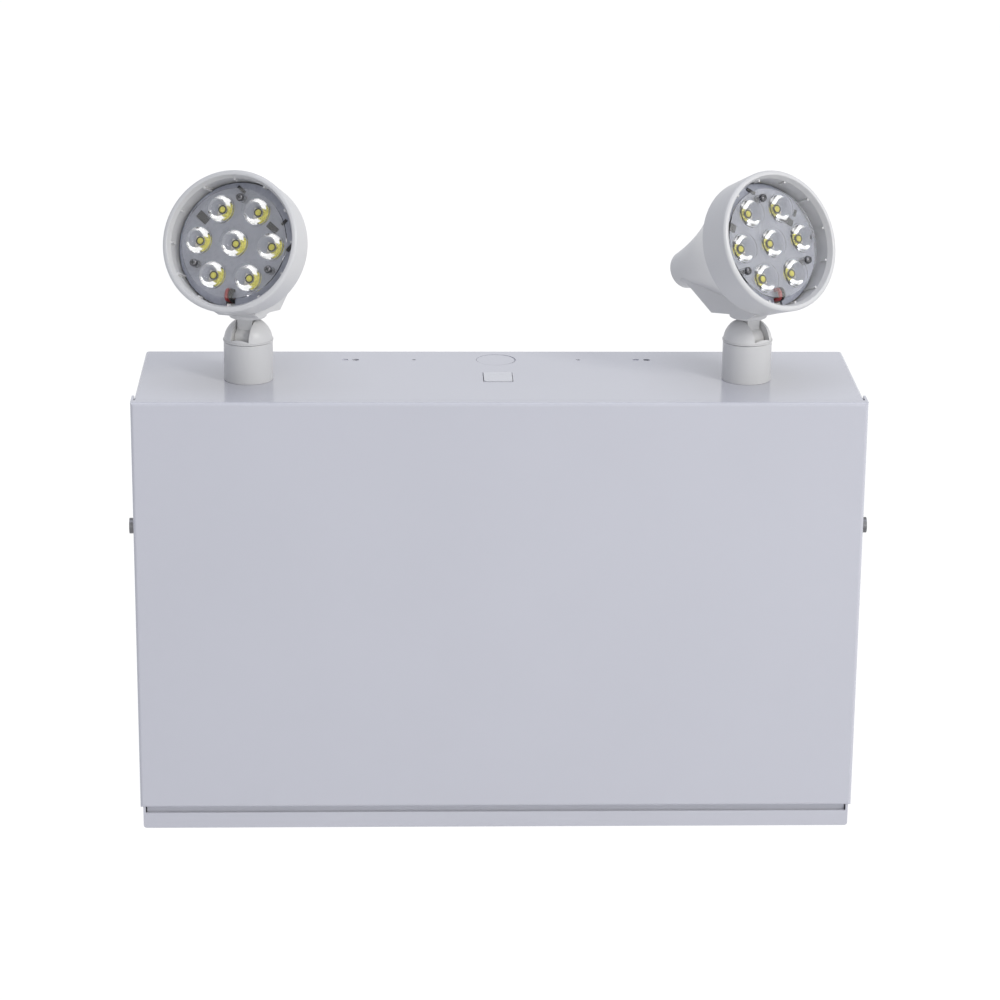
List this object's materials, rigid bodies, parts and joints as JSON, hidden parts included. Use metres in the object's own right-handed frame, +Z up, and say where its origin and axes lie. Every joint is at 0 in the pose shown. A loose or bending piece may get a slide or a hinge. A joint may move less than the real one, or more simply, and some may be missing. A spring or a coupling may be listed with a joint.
{
  "type": "emergency light",
  "caption": "Wall-mounted emergency lighting unit: a folded steel battery cabinet with a screwed front cover and round swivelling lamp heads on its top panel.",
  "frame": {"origin": "centre of the back panel's outer face, on the wall plane", "axes": "+X to the right seen from the front, +Y into the wall, +Z up"},
  "size_m": [0.3644, 0.095, 0.3316],
  "materials": {
    "white_paint": "gloss powder coat",
    "steel": "plated, slightly dull",
    "zinc": "zinc plated",
    "battery_case": "moulded",
    "red_wire": "insulated wire",
    "black_wire": "insulated wire",
    "green_board": "solder mask",
    "nylon": "moulded",
    "laminations": "varnished steel laminations",
    "winding": "taped coil",
    "black_plastic": "moulded",
    "bare_aluminium": "extruded",
    "fuse_glass": "clear",
    "cream_plastic": "moulded",
    "lamp_plastic": "moulded, satin",
    "white_board": "pale solder mask on metal core",
    "phosphor": "yellow phosphor",
    "clear_lens": "clear moulded"
  },
  "bodies": {
    "cabinet": {"back_tray": "white_paint", "front_cover": "white_paint", "cover_screws": "steel", "cover_nuts": "zinc", "battery": "battery_case", "battery_terminals": "zinc", "battery_bracket": "zinc", "bracket_screws": "steel", "battery_lead_red": "red_wire", "battery_lead_black": "black_wire", "charger_board": "green_board", "board_standoffs": "nylon", "board_screws": "steel", "transformer_core": "laminations", "transformer_coil": "winding", "transformer_frame": "zinc", "transformer_screws": "steel", "relay": "black_plastic", "capacitors": "black_plastic", "heat_sink": "bare_aluminium", "fuse_holder": "zinc", "fuse": "fuse_glass", "terminal_block": "black_plastic", "switch_body": "black_plastic", "left_post": "lamp_plastic", "left_post_washer": "zinc", "left_post_nut": "zinc", "right_post": "lamp_plastic", "right_post_washer": "zinc", "right_post_nut": "zinc"},
    "left_swivel": {"left_dome": "lamp_plastic", "left_clip": "steel", "left_tilt_pin": "steel"},
    "left_head": {"left_arm": "lamp_plastic", "left_arm_nut": "zinc", "left_lamp_bell": "lamp_plastic", "left_lamp_ring": "lamp_plastic", "left_led_board": "white_board", "left_leds": "phosphor", "left_lenses": "clear_lens", "left_lamp_screws": "steel", "left_lamp_lead_red": "red_wire", "left_lamp_lead_black": "black_wire"},
    "right_swivel": {"right_dome": "lamp_plastic", "right_clip": "steel", "right_tilt_pin": "steel"},
    "right_head": {"right_arm": "lamp_plastic", "right_arm_nut": "zinc", "right_lamp_bell": "lamp_plastic", "right_lamp_ring": "lamp_plastic", "right_led_board": "white_board", "right_leds": "phosphor", "right_lenses": "clear_lens", "right_lamp_screws": "steel", "right_lamp_lead_red": "red_wire", "right_lamp_lead_black": "black_wire"},
    "test_button": {"test_button": "cream_plastic"}
  },
  "joints": [
    {"name": "left_pan", "type": "hinge", "parent": "cabinet", "child": "left_swivel", "pos_m": [-0.1241, -0.0516, 0.1319], "axis": [0, 0, 1], "range_deg": [-144.8, 185.2]},
    {"name": "left_tilt", "type": "hinge", "parent": "left_swivel", "child": "left_head", "pos_m": [-0.1241, -0.0516, 0.1319], "axis": [-0.9385, 0.3453, 0], "range_deg": [-52, 38]},
    {"name": "right_pan", "type": "hinge", "parent": "cabinet", "child": "right_swivel", "pos_m": [0.1241, -0.0516, 0.1319], "axis": [0, 0, 1], "range_deg": [-200.3, 129.7]},
    {"name": "right_tilt", "type": "hinge", "parent": "right_swivel", "child": "right_head", "pos_m": [0.1241, -0.0516, 0.1319], "axis": [-0.8161, -0.5779, 0], "range_deg": [-52, 38]},
    {"name": "test_press", "type": "slide", "parent": "cabinet", "child": "test_button", "axis": [0, 0, -1], "range_m": [0, 0.0025], "stiffness_N_per_m": 400, "springref_m": -0.002}
  ]
}
